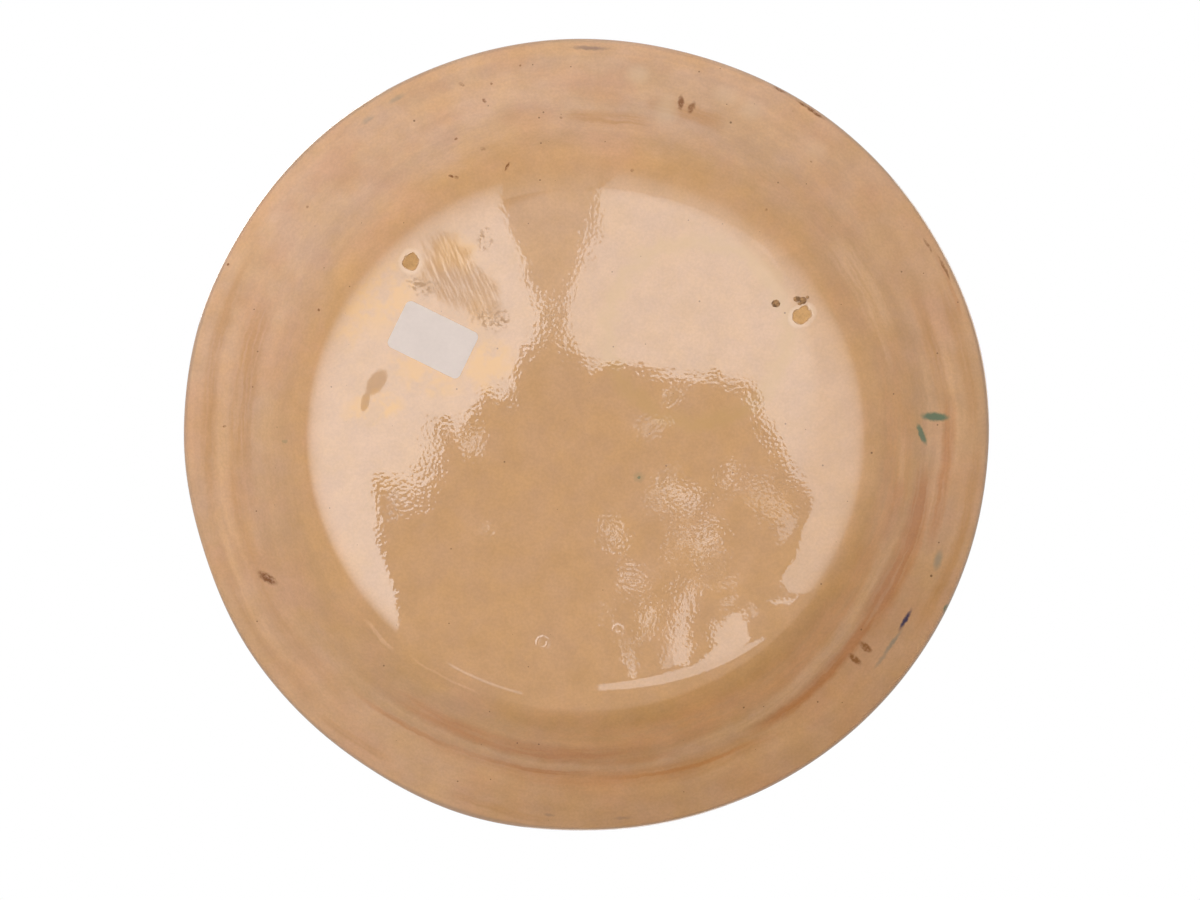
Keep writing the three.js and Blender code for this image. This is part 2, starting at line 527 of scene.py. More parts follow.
def hangSoftbox(side):
    selectNone()
    made = softboxes[side]
    outlines = []
    for runs in made["outlines"]:
        outlines.append([lightPlace(source, corner) for source, run in runs for corner in run])
    first, *others = outlines
    corners = sum(outlines, [])
    depth = studio["softboxDepth"] + made.get("behind", 0)
    bpy.ops.mesh.primitive_circle_add(vertices=len(first), radius=1, fill_type="NGON")
    box = bpy.context.object
    box.name = side + "Softbox"
    setMode("EDIT")
    for outline in others:
        bpy.ops.mesh.primitive_circle_add(vertices=len(outline), radius=1, fill_type="NGON")
    setMode("OBJECT")
    for vertex, corner in zip(box.data.vertices, corners):
        vertex.co = (*corner, -depth)
    glow, tree, shader = newFinish(side + "Glow")
    lit = tree.nodes.new("ShaderNodeEmission")
    lit.inputs["Color"].default_value = studio["softboxColour"]
    lit.inputs["Strength"].default_value = made["level"]
    if "fade" in made:
        middle, span, edges = made["fade"]
        size = [end - start for start, end in zip(mirrored((0, 0)), mirrored(span))]
        out = reach(tree, moved(tree, objectPlace(tree), (*mirrored(middle), 0), 0, (*size, 1000)))
        level = ramp(tree, out, *edges, made["level"], made.get("rest", 1.0))
        tree.links.new(level, lit.inputs["Strength"])
    tree.links.new(lit.outputs[0], tree.nodes["Material Output"].inputs["Surface"])
    tree.nodes.remove(shader)
    box.data.materials.append(glow)
    box.visible_camera = False


def standFlag():
    selectNone()
    bpy.ops.mesh.primitive_plane_add(size=1, location=studio["flagPlace"])
    flag = bpy.context.object
    flag.name = "flag"
    flag.scale = (*studio["flagSize"], 1)
    flag.rotation_euler = (-flag.location).to_track_quat("Z", "Y").to_euler()
    felt, tree, shader = newFinish("blackFelt")
    shader.inputs["Base Color"].default_value = (0.02, 0.02, 0.02, 1)
    shader.inputs["Roughness"].default_value = 1.0
    shader.inputs["Specular IOR Level"].default_value = 0.0
    soft = ramp(tree, reach(tree, objectPlace(tree)), 0.5, 0.12)  # thins out towards its edges
    tree.links.new(soft, shader.inputs["Alpha"])
    flag.data.materials.append(felt)
    flag.visible_camera = False
    flag.visible_diffuse = False
    flag.visible_shadow = False


lamps = {
    "keyLamp": {"place": (-1.0, -0.8, 1.5), "size": 1.0, "watts": 14},
    "fillLamp": {"place": (1.3, -0.5, 1.2), "size": 1.0, "watts": 6},
    "rimLamp": {"place": (0.2, 1.4, 1.3), "size": 0.8, "watts": 5},
}


def hangLamp(name, place, size, watts):
    bpy.ops.object.light_add(type="AREA", location=place)
    lamp = bpy.context.object
    lamp.name = name
    lamp.data.shape = "DISK"
    lamp.data.size = size
    lamp.data.energy = watts
    lamp.rotation_euler = (-lamp.location).to_track_quat("-Z", "Y").to_euler()
    lamp.visible_camera = False


def layFloor():
    selectNone()
    bpy.ops.mesh.primitive_circle_add(vertices=160, radius=studio["floorRadius"], fill_type="NGON")
    floor = bpy.context.object
    floor.name = "floor"
    paper, tree, shader = newFinish("palePaper")
    shader.inputs["Roughness"].default_value = 0.9
    shader.inputs["Specular IOR Level"].default_value = 0.1
    cloud = grain(tree, objectPlace(tree), 0.35, 3)
    shade = ramp(tree, cloud, 0.3, 0.7, 0.97, 1.0)
    colour = tint(tree, 1.0, studio["floorColour"], shade, "MULTIPLY")
    tree.links.new(colour, shader.inputs["Base Color"])
    clear = tree.nodes.new("ShaderNodeBsdfTransparent")
    side = tree.nodes.new("ShaderNodeNewGeometry")
    mix = tree.nodes.new("ShaderNodeMixShader")
    tree.links.new(side.outputs["Backfacing"], mix.inputs[0])
    tree.links.new(shader.outputs[0], mix.inputs[1])
    tree.links.new(clear.outputs[0], mix.inputs[2])
    tree.links.new(mix.outputs[0], tree.nodes["Material Output"].inputs["Surface"])
    floor.data.materials.append(paper)
    floor.visible_shadow = False
    floor.visible_diffuse = False
    floor.visible_glossy = False
    floor.visible_transmission = False


def fillRoom():
    room = bpy.data.worlds.new("whiteRoom")
    scene.world = room
    room.use_nodes = True
    tree = room.node_tree
    back = tree.nodes["Background"]
    back.inputs["Color"].default_value = (1, 1, 1, 1)
    way = tree.nodes.new("ShaderNodeVectorMath")
    way.operation = "DOT_PRODUCT"
    tree.links.new(tree.nodes.new("ShaderNodeTexCoord").outputs["Generated"], way.inputs[0])
    way.inputs[1].default_value = studio["ambientLean"]
    soft = calc(tree, "MAXIMUM", calc(tree, "ADD", way.outputs["Value"], studio["ambient"]), 0.05)
    ray = tree.nodes.new("ShaderNodeLightPath")
    seen = calc(tree, "MAXIMUM", ray.outputs["Is Camera Ray"], ray.outputs["Is Glossy Ray"])
    seen = calc(tree, "MAXIMUM", seen, ray.outputs["Is Transmission Ray"])
    level = tree.nodes.new("ShaderNodeMix")
    tree.links.new(seen, level.inputs[0])
    tree.links.new(soft, level.inputs[2])
    level.inputs[3].default_value = 1.0
    tree.links.new(level.outputs[0], back.inputs["Strength"])


layFloor()
fillRoom()
for side in softboxes:
    hangSoftbox(side)
standFlag()
for name, lamp in lamps.items():
    hangLamp(name, **lamp)
print("studio ready")


def movedIn(points, depth):
    inner = []
    for i, point in enumerate(points):
        before = points[max(i - 1, 0)]
        after = points[min(i + 1, len(points) - 1)]
        way = (after[0] - before[0], after[1] - before[1])
        size = math.hypot(*way)
        inner.append((max(point[0] - way[1] / size * depth, 0.0), point[1] + way[0] / size * depth))
    return inner


def turnPiece(name, outline, turns):
    selectNone()
    bpy.ops.mesh.primitive_plane_add(size=0.01)
    piece = bpy.context.object
    piece.name = piece.data.name = name
    setMode("EDIT")
    bpy.ops.mesh.merge(type="CENTER")
    bpy.ops.transform.translate(value=(outline[0][0] * mm, 0, outline[0][1] * mm))
    for before, after in zip(outline, outline[1:]):
        move = ((after[0] - before[0]) * mm, 0, (after[1] - before[1]) * mm)
        bpy.ops.mesh.extrude_region_move(TRANSFORM_OT_translate={"value": move})
    selectAll()
    bpy.ops.mesh.spin(steps=turns, angle=2 * math.pi, center=(0, 0, 0), axis=(0, 0, 1))
    selectAll()
    bpy.ops.mesh.remove_doubles(threshold=1e-6)
    bpy.ops.mesh.normals_make_consistent(inside=False)
    bpy.ops.transform.resize(value=(oval, 1, 1), center_override=(0, 0, 0))
    setMode("OBJECT")
    bpy.ops.object.shade_smooth()
    return piece


under, over = plateOutline(plateForm)
coatDepth = plateForm["glaze"]
lap = [under[-1]] + over  # the food side's coat takes over at the foot of the lip
backGlaze = turnPiece("backGlaze", under + movedIn(under, coatDepth)[::-1], plateForm["turns"])
faceGlaze = turnPiece("faceGlaze", lap + movedIn(lap, coatDepth)[::-1] + lap[:1], plateForm["turns"])
clayLine = movedIn(under + over, coatDepth + plateForm["hair"])[::2]
clayBody = turnPiece("clayBody", clayLine, plateForm["clayTurns"])
print("turned", [(p.name, len(p.data.polygons)) for p in (backGlaze, faceGlaze, clayBody)])


# What the thrower's hands and the kiln left: a rim a little out of round, low swells and burst bubbles
handMarks = {
    # degrees round the rim from +X towards +Y, millimetres out and up, and how far round it fades
    "rim": [
        (107, 0.85, 0.2, 42), (162, -0.75, -0.3, 38), (197, 0.3, 0, 34), (230, 0.35, 0.1, 50),
        (285, -0.5, 0.4, 52), (349, 0.6, -0.2, 48),
    ],
    # swells of the whole underside: how wide and how high, in millimetres
    "swells": [(2.6, 0.0015), (12.0, 0.006)],
    # burst bubbles in the glaze: place and radius of the rim
    "blisters": [(-13.9, 67.3, 1.7), (10.4, 63.1, 1.3)],
    "blisterRim": 0.05,
    "blisterMargin": 3,  # how far round a bubble the mesh is made finer
    "blisterCuts": 4,
    "blisterBand": 0.2,
    "blisterFade": 0.8,
}


def pushRim(piece):
    for degrees, out, up, fade in handMarks["rim"]:
        angle = math.radians(degrees)
        target = np.array([math.cos(angle) * rimRadius * oval, math.sin(angle) * rimRadius, plateHeight]) * mm
        gaps = np.linalg.norm(places(piece) - target, axis=1)
        pick(piece, gaps <= gaps.min() + 1e-7)
        pull((math.cos(angle) * out, math.sin(angle) * out, up), fade)


def raiseSwells(piece):
    for width, height in handMarks["swells"]:
        roughen(piece, width, height, "Z", 1)
    applyAll(piece)


def burstBlisters(piece):
    choose(piece)
    top = plateForm["hollow"] + plateForm["glaze"] / 2
    for x, y, radius in handMarks["blisters"]:
        spots = places(piece) / mm
        out = np.linalg.norm(spots[:, :2] - (x, y), axis=1)
        pick(piece, (out < radius + handMarks["blisterMargin"]) & (spots[:, 2] < top))
        bpy.ops.mesh.select_mode(type="VERT")
        bpy.ops.mesh.subdivide(number_cuts=handMarks["blisterCuts"])
        setMode("OBJECT")
        spots = places(piece) / mm
        out = np.linalg.norm(spots[:, :2] - (x, y), axis=1)
        pick(piece, (abs(out - radius) < handMarks["blisterBand"]) & (spots[:, 2] < top))
        pull((0, 0, -handMarks["blisterRim"]), handMarks["blisterFade"])


for piece in (backGlaze, faceGlaze, clayBody):
    choose(piece)
    pushRim(piece)
raiseSwells(backGlaze)
burstBlisters(backGlaze)
print("shaped by hand", len(backGlaze.data.polygons))


# Bare spots where the points of the kiln stilt broke away, in millimetres
stiltScars = [
    {"place": (-56.5, -55.8), "size": (5.4, 6.2), "turn": 10},
    {"place": (70.0, -38.5), "size": (7.4, 5.2), "turn": -32},
]
scarBreak = {"depth": 1.6, "chip": 2.2, "ragged": 1.6}


def breakScar(piece, scar):
    selectNone()
    bpy.ops.mesh.primitive_ico_sphere_add(subdivisions=4, radius=1)
    point = bpy.context.object
    setMode("EDIT")
    length, width = scar["size"]
    bpy.ops.transform.resize(value=(length / 2 * mm, width / 2 * mm, scarBreak["depth"] * mm))
    bpy.ops.transform.rotate(
        value=-math.radians(scar["turn"]), orient_axis="Z", center_override=(0, 0, 0),
    )
    x, y = scar["place"]
    bpy.ops.transform.translate(value=(x * mm, y * mm, plateForm["hollow"] * mm))
    setMode("OBJECT")
    roughen(point, scarBreak["chip"], scarBreak["ragged"])
    applyAll(point)
    cut = piece.modifiers.new("cut", "BOOLEAN")
    cut.operation = "DIFFERENCE"
    cut.solver = "EXACT"
    cut.object = point
    applyAll(piece)
    bpy.data.objects.remove(point)


for scar in stiltScars:
    breakScar(backGlaze, scar)
for coat in (backGlaze, faceGlaze):
    choose(coat)
    bpy.ops.object.shade_smooth_by_angle(angle=math.radians(35))
print("scars broken out", len(backGlaze.data.polygons))


# Paper label, from the place of its solid
labelForm = {
    "size": (25.8, 16.5),
    "corner": 1.8,
    "turn": 26.2,
    "cuts": (16, 10),  # rows of small faces, so that the lifted corner bends
    "lift": 0.05,  # a corner that has come away a little
    "liftReach": 7.0,
    "liftBand": 0.6,  # how much of the corner is taken hold of
    "liftLean": 0.2,  # which corner: mostly the one furthest along X
}


def makeLabel(form):
    low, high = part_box("paper_label")
    centre = (low + high) / 2
    selectNone()
    bpy.ops.mesh.primitive_plane_add(size=1)
    label = bpy.context.object
    label.name = label.data.name = "paperLabel"
    length, width = (side * mm for side in form["size"])
    setMode("EDIT")
    bpy.ops.transform.resize(value=(length, width, 1))
    bpy.ops.mesh.bevel(affect="VERTICES", offset=form["corner"] * mm, segments=5)
    for axis, (side, count) in enumerate(zip((length, width), form["cuts"])):
        for i in range(1, count):
            spot = [0, 0, 0]
            spot[axis] = side * (i / count - 0.5)
            facing = [0, 0, 0]
            facing[axis] = 1
            selectAll()
            bpy.ops.mesh.bisect(plane_co=spot, plane_no=facing)
    selectAll()
    bpy.ops.mesh.remove_doubles(threshold=1e-7)
    bpy.ops.mesh.extrude_region_move(TRANSFORM_OT_translate={"value": (0, 0, -(high.z - low.z))})
    selectAll()
    bpy.ops.mesh.normals_make_consistent(inside=False)
    bpy.ops.transform.rotate(value=-math.radians(form["turn"]), orient_axis="Z", center_override=(0, 0, 0))
    bpy.ops.transform.translate(value=(centre.x, centre.y, high.z))
    setMode("OBJECT")
    spots = places(label)
    corner = spots[:, 0] - spots[:, 1] * form["liftLean"]
    pick(label, corner > corner.max() - form["liftBand"] * mm)
    pull((0, 0, -form["lift"]), form["liftReach"])
    bpy.ops.object.shade_smooth_by_angle(angle=math.radians(30))
    return label


paperLabel = makeLabel(labelForm)
print("label cut")


# Crumbs of the stilt that stuck to the glaze beside the right scar, in millimetres
crumbForm = [
    {"place": (61.4, -42.2), "size": (2.8, 2.4, 0.4)},
    {"place": (68.3, -43.7), "size": (2.4, 1.8, 0.45)},
    {"place": (70.2, -43.2), "size": (2.2, 2.2, 0.4)},
    {"place": (69.2, -42.2), "size": (1.4, 1.0, 0.35)},
    {"place": (71.6, -44.3), "size": (1.0, 0.9, 0.3)},
]
crumbCrust = {"sunk": 0.02, "grain": 0.6, "rough": 0.25}


def makeCrumbs(crumbs):
    made = []
    for crumb in crumbs:
        selectNone()
        bpy.ops.mesh.primitive_ico_sphere_add(subdivisions=4, radius=1)
        lump = bpy.context.object
        setMode("EDIT")
        bpy.ops.transform.resize(value=[side / 2 * mm for side in crumb["size"]])
        height = plateForm["hollow"] + crumbCrust["sunk"]
        bpy.ops.transform.translate(value=(crumb["place"][0] * mm, crumb["place"][1] * mm, height * mm))
        setMode("OBJECT")
        roughen(lump, crumbCrust["grain"], crumbCrust["rough"])
        applyAll(lump)
        made.append(lump)
    selectNone()
    for lump in made:
        lump.select_set(True)
    bpy.context.view_layer.objects.active = made[0]
    bpy.ops.object.join()
    joined = bpy.context.object
    joined.name = joined.data.name = "stiltCrumbs"
    bpy.ops.object.shade_smooth()
    return joined


stiltCrumbs = makeCrumbs(crumbForm)
print("crumbs stuck on")


# Glaze: honey over buff clay, laid on with a broad brush while the plate turned
glazeLook = {
    "ochre": (0.525, 0.283, 0.125),
    "wall": (0.54, 0.288, 0.12),
    "flange": (0.56, 0.311, 0.156),
    # painted sheen, laid on the upper-left side of the wall and flange
    "paintedSheen": (0.60, 0.358, 0.212),
    "rose": (0.575, 0.29, 0.145),
    # the lip's outer edge, partly painted shade
    "edge": (0.36, 0.22, 0.13),
    "speck": (0.13, 0.055, 0.018),
    # paler rim of the stilt scars, partly a painted glint
    "pale": (0.68, 0.45, 0.27),
    "gloss": 0.018,
    "matte": 0.42,
    "worn": (0.47, 0.265, 0.13),
    "pit": (0.30, 0.155, 0.06),
    "sallow": (1.0, 0.985, 0.88),  # the glaze is yellower in some clouds and pinker in others
    "pinkish": (1.0, 1.005, 1.05),
    "peel": 2.2e-6,  # height of the fine orange peel, in metres
    "wave": 8e-6,
}

# Brush strokes and a few painted highlights under the wall and flange: middle and half span in degrees,
# radius, how far the stroke winds out over a turn of one radian, half width in millimetres, strength
brushAndHighlightStrokes = {
    "honey": {
        "colour": (0.50, 0.252, 0.10),
        "strokes": [
            (16, 18, 125.2, -5, 2.6, 1.1), (103, 9, 126.2, 0, 1.8, 0.6), (127, 7, 124.8, 4, 1.8, 0.7),
            (148, 15, 123, 1, 3.6, 0.5), (188, 26, 122.4, 0, 3.4, 0.65), (157, 30, 114.6, 0, 3.6, 0.55),
            (188, 18, 111.4, 0, 6, 0.9), (348, 15, 125, 1, 3.4, 0.75), (350, 16, 115.6, 0, 3.2, 1),
            (348, 20, 106.8, 0, 5.6, 0.25), (4, 12, 103, 4, 3, 0.5), (274, 9, 103.2, 0, 3.4, 0.9),
            (287, 8, 110.4, 0, 4.2, 0.9), (68, 13, 114.4, 0, 4, 0.6),
        ],
    },
    "amber": {
        "colour": (0.72, 0.30, 0.11),
        "strokes": [(45, 75, 99.5, 0, 7.5, 0.3)],
    },
    # cream streaks of the glaze; the strokes at 331, 120 and 135.5 degrees are painted highlights
    "creamAndHighlights": {
        "colour": (0.655, 0.37, 0.19),
        "strokes": [
            (48, 38, 105.3, 5.9, 3, 0.75), (112, 30, 108.2, 0, 1.8, 0.4), (178, 26, 118.4, 0, 3.2, 0.6),
            (156, 17, 121.2, 0, 2.4, 0.8), (331, 12, 101.5, 0, 7, 0.9),
            (250, 24, 118, 0, 4, 0.4), (342, 7, 99.7, 0, 1.8, 0.5), (355, 12, 119, 0, 1.8, 0.5),
            (12, 14, 101.8, 3, 1.8, 0.5), (358, 16, 110.8, -2, 1.3, 0.5), (8, 15, 113.4, -3, 1.3, 0.45),
            (120, 9, 90.2, 0, 0.6, 0.5), (135.5, 5, 92.6, 0, 1.1, 0.9), (250, 90, 127.5, 0, 5, 0.6),
        ],
    },
    "rust": {
        "colour": (0.50, 0.212, 0.078),
        "strokes": [
            (20, 17, 109.4, 0, 5.4, 1.3), (44, 20, 109.9, 2, 2.8, 1.1), (6, 14, 116.6, -4, 3, 0.8),
            (75, 19, 113.3, -6.3, 1.3, 0.8), (108, 26, 110.9, 2, 1.3, 0.95), (102, 28, 104.2, 0, 4.2, 0.95),
            (92, 34, 112, -3, 4.5, 0.35),
            (337, 6, 127.5, 0, 0.8, 0.7), (14, 7, 101.5, 0, 3.4, 0.6), (72, 8, 103.6, 0, 2.2, 0.3),
            (82, 10, 106.8, -3, 2.2, 0.5),
        ],
    },
}

# Marks under the plate: x, y, length, width in millimetres, turn in degrees, strength
baseMarks = {
    "pinBrown": {
        "colour": (0.20, 0.06, 0.006),
        "soft": 0.4,
        "spots": [
            (31, -108.2, 4.6, 1.9, 96, 0.9), (34.4, -106.6, 4, 1.9, 118, 0.8),
            (-103.9, 46.9, 6.4, 2.6, 32, 1), (87.8, 73.4, 4.8, 2, 40, 0.75),
            (91.2, 69.4, 4.8, 2, 40, 0.75), (-43.6, -83.6, 1.5, 1, 20, 1),
            (-41.9, -83.1, 1.4, 0.9, 20, 0.9), (-25.3, -86.4, 2.8, 1, 115, 1),
            (73.6, -106.4, 9.5, 1, 35, 0.95), (63.6, -113, 4.5, 0.9, 28, 0.8),
            (117.4, -54.6, 8, 0.9, 64, 0.7), (112, -62, 5, 0.8, 58, 0.6),
            (-40.6, -114.5, 1.8, 1.2, 30, 0.5), (-33.2, -108.9, 1.6, 1, 60, 0.75),
            (-30.8, -114.7, 0.9, 0.9, 0, 0.7), (-42.3, -96.1, 1, 0.9, 0, 0.8),
            (-33.4, -92.6, 1.7, 1.2, 15, 0.45), (-21.6, -120.7, 0.8, 0.8, 0, 0.7),
            (-8.2, -103, 1.1, 0.9, 0, 0.5), (-86.5, -40.2, 0.9, 0.9, 0, 0.9),
            (-117.2, -55.7, 0.9, 0.8, 0, 0.85), (-118.1, -2.6, 1.1, 0.8, 20, 0.75),
            (-90.9, -74.3, 0.9, 0.8, 0, 0.7), (15.1, -85.1, 1, 0.9, 0, 0.75),
            (58.4, -72.6, 0.9, 0.8, 0, 0.7), (73.7, -88.9, 1, 0.8, 40, 0.6),
        ],
    },
    "green": {
        "colour": (0.10, 0.15, 0.075),
        "soft": 0.35,
        "spots": [
            (113.9, -5.7, 8.6, 2.7, 3, 0.95), (109.4, 0, 6.6, 1.9, 66, 0.9),
            (17.2, 14, 1.2, 1.1, 0, 0.75), (17.2, 14, 3.6, 3.4, 0, 0.2),
            (118.2, 57, 3, 2, 120, 0.8), (-97.5, 2.4, 1.6, 1.2, 0, 0.3),
        ],
    },
    "blue": {
        "colour": (0.04, 0.035, 0.075),
        "soft": 0.6,
        "spots": [
            (104.4, 60.6, 6.5, 1.3, 120, 0.95), (1.4, -126.6, 10, 1.2, 2, 0.45),
            (12, 125.6, 5, 1, 176, 0.25), (-12, 124.6, 3, 0.9, 8, 0.25),
        ],
    },
    "slate": {
        "colour": (0.20, 0.20, 0.15),
        "soft": 0.7,
        "spots": [
            (100, 68.5, 9, 1.2, 126, 0.6), (96.6, 73.6, 6, 1.2, 128, 0.4),
            (115.2, 41, 5.5, 2.2, 105, 0.55), (-71.4, -103, 4, 1.6, 146, 0.35),
            (-62, -110, 5, 1.4, 150, 0.35),
        ],
    },
    "cloudy": {
        "colour": (0.65, 0.44, 0.275),
        "soft": 0.7,
        "spots": [
            (16.8, -117.8, 7, 6, 0, 0.45), (26.2, -106, 7, 8, 0, 0.5),
            (45.6, -110.6, 8, 6, 20, 0.3), (53.8, -106.2, 7, 6, 0, 0.3),
            (75.4, -93, 7, 6, 40, 0.25),
        ],
    },
    "gold": {
        "colour": (0.615, 0.305, 0.066),
        "soft": 0.5,
        "spots": [
            (-42.5, -58.5, 13, 11, 0, 0.8), (-72.5, -40, 9, 24, 25, 0.75),
            (-31.5, -23, 14, 17, 0, 0.9), (-68, -8.5, 18, 9, -12, 0.95),
            (-52, -20, 22, 13, 26, 0.8), (-62.5, -45, 14, 24, 30, 0.8),
            (-34, -37, 9, 14, 0, 0.5),
        ],
    },
}
# Scuffed places, where the glaze has lost its gloss, and the way the scratches run
scuffs = [
    (-44.5, -53, 17, 24, -20, 1), (-36, -46, 13, 20, -40, 0.9),
]
scratchTurn = 66
# Spots that are pitted by wear
pittedSpots = [
    (-53.5, -48.3, 12, 6.4, 20, 1), (-31.2, -37.6, 12, 6, 10, 1),
    (-32.8, -62.5, 4.4, 8, 0, 0.9), (-62, 24, 5, 10, 10, 0.5),
]
# Dull spots where the gloss is rubbed off altogether
dullSpots = [(-67.6, -16.8, 9.5, 5.2, 125, 1.0), (-71.2, -10.6, 6.5, 2.6, 105, 1.0)]
# Painted dip in the mirrored light: a faint darker arc round a place in the right half of the base;
# centre, radius and half width in millimetres
paintedReflectionDip = {"centre": (36, -33), "radius": 29, "width": 5.0, "colour": (0.51, 0.285, 0.10), "share": 0.6}
# Where the orange peel is coarse
peelPatches = [
    (31, 47, 62, 66, 0, 0.6), (-62, 26, 34, 60, 0, 1.8), (62, 22, 24, 40, 0, 1), (4, -66, 16, 26, 0, 1),
    (-15, -36, 10, 24, 0, 0.6),
]


def ringParts(tree, place):
    parts = tree.nodes.new("ShaderNodeSeparateXYZ")
    tree.links.new(place, parts.inputs[0])
    across = calc(tree, "DIVIDE", parts.outputs[0], oval)
    flat = tree.nodes.new("ShaderNodeCombineXYZ")
    tree.links.new(across, flat.inputs[0])
    tree.links.new(parts.outputs[1], flat.inputs[1])
    radius = calc(tree, "MAXIMUM", reach(tree, flat.outputs[0]), 1e-4)
    wobble = ramp(tree, grain(tree, place, 0.045, 1), 0.2, 0.8, -0.003, 0.003)
    fray = ramp(tree, grain(tree, place, 0.006, 3, 0.6), 0.2, 0.8, -0.0016, 0.0016)
    return {
        "radius": radius,
        "drift": calc(tree, "ADD", radius, calc(tree, "ADD", wobble, fray)),
        "trail": calc(tree, "ADD", radius, times(tree, calc(tree, "ADD", wobble, fray), 0.28)),
        "cosine": calc(tree, "DIVIDE", across, radius),
        "sine": calc(tree, "DIVIDE", parts.outputs[1], radius),
    }


def streaks(tree, ring, short, width, seed, detail=2.0):
    where = tree.nodes.new("ShaderNodeCombineXYZ")
    tree.links.new(times(tree, ring["cosine"], short), where.inputs[0])
    tree.links.new(times(tree, ring["sine"], short), where.inputs[1])
    tree.links.new(calc(tree, "MULTIPLY_ADD", ring["trail"], 1 / width, seed), where.inputs[2])
    return grain(tree, where.outputs[0], 1.0, detail)


def facing(tree, ring, degrees):
    angle = math.radians(degrees)
    across = times(tree, ring["cosine"], math.cos(angle))
    return calc(tree, "MULTIPLY_ADD", ring["sine"], math.sin(angle), across)


def strokeMask(tree, ring, strokes):
    mask = None
    for middle, span, radius, wind, width, strength in strokes:
        path = calc(tree, "MULTIPLY_ADD", facing(tree, ring, middle + 90), wind * mm, radius * mm)
        gap = calc(tree, "ABSOLUTE", calc(tree, "SUBTRACT", ring["trail"], path))
        across = ramp(tree, gap, width * mm, width * 0.2 * mm)
        ends = (math.cos(math.radians(share * span)) for share in (1.0, 0.35))
        one = times(tree, across, ramp(tree, facing(tree, ring, middle), *ends, 0, strength))
        mask = one if mask is None else calc(tree, "MAXIMUM", mask, one)
    return mask


def acrossSpot(tree, parts, x, y, size, turn):
    right = 2 * math.cos(math.radians(turn)) / (size * mm)
    down = 2 * math.sin(math.radians(turn)) / (size * mm)
    start = calc(tree, "MULTIPLY_ADD", parts.outputs[0], right, -(x * right + y * down) * mm)
    return calc(tree, "MULTIPLY_ADD", parts.outputs[1], down, start)


def spotMask(tree, place, spots, soft):
    parts = tree.nodes.new("ShaderNodeSeparateXYZ")
    tree.links.new(place, parts.inputs[0])
    mask = None
    for x, y, length, width, turn, strength in spots:
        along = acrossSpot(tree, parts, x, y, length, turn)
        aside = acrossSpot(tree, parts, x, y, width, turn + 90)
        square = calc(tree, "MULTIPLY_ADD", along, along, times(tree, aside, aside))
        one = ramp(tree, calc(tree, "SQRT", square), 1 + soft, 1 - soft, 0, strength)
        mask = one if mask is None else calc(tree, "MAXIMUM", mask, one)
    return mask


def ragged(tree, place, size, amount):
    node = tree.nodes.new("ShaderNodeTexNoise")
    tree.links.new(place, node.inputs["Vector"])
    node.inputs["Scale"].default_value = 1 / size
    node.inputs["Detail"].default_value = 2
    shift = tree.nodes.new("ShaderNodeVectorMath")
    shift.operation = "MULTIPLY_ADD"
    tree.links.new(node.outputs["Color"], shift.inputs[0])
    shift.inputs[1].default_value = (amount, amount, 0)
    tree.links.new(place, shift.inputs[2])
    back = tree.nodes.new("ShaderNodeVectorMath")
    back.operation = "SUBTRACT"
    tree.links.new(shift.outputs[0], back.inputs[0])
    back.inputs[1].default_value = (amount / 2, amount / 2, 0)
    return back.outputs[0]


def pinholes(tree, place, cell, small, large, share):
    dots = tree.nodes.new("ShaderNodeTexVoronoi")
    dots.voronoi_dimensions = "2D"
    tree.links.new(place, dots.inputs["Vector"])
    dots.inputs["Scale"].default_value = 1 / cell
    pickOne = tree.nodes.new("ShaderNodeSeparateColor")
    tree.links.new(dots.outputs["Color"], pickOne.inputs[0])
    radius = ramp(tree, pickOne.outputs[0], 0, 1, small / cell * mm, large / cell * mm)
    inside = calc(tree, "SUBTRACT", radius, dots.outputs["Distance"])
    hole = ramp(tree, inside, 0, small / cell * mm * 0.6)
    return times(tree, hole, ramp(tree, pickOne.outputs[1], 1 - share, 1 - share + 0.02))


def markSpots(tree, place, ring, colour, kinds, rimOnly):
    for kind in kinds:
        mark = baseMarks[kind]
        spots = mark["spots"]
        if rimOnly:
            spots = [spot for spot in spots if math.hypot(spot[0] / oval, spot[1]) > 123]
        if not spots:
            continue
        mask = spotMask(tree, place, spots, mark["soft"])
        if kind == "pinBrown":
            crumbly = ramp(tree, grain(tree, place, 0.0013, 2), 0.3, 0.58, 0.35, 1.0)
            mask = times(tree, mask, crumbly)
        if rimOnly:
            mask = times(tree, mask, ramp(tree, ring["radius"], 0.1275, 0.1282))
        colour = tint(tree, mask, colour, mark["colour"])
    return colour


def joinFinish(tree, shader, colour, rough, height):
    feed(tree, shader.inputs["Base Color"], colour)
    feed(tree, shader.inputs["Roughness"], rough)
    bump = tree.nodes.new("ShaderNodeBump")
    bump.inputs["Strength"].default_value = 1.0
    bump.inputs["Distance"].default_value = 1.0
    tree.links.new(height, bump.inputs["Height"])
    tree.links.new(bump.outputs[0], shader.inputs["Normal"])


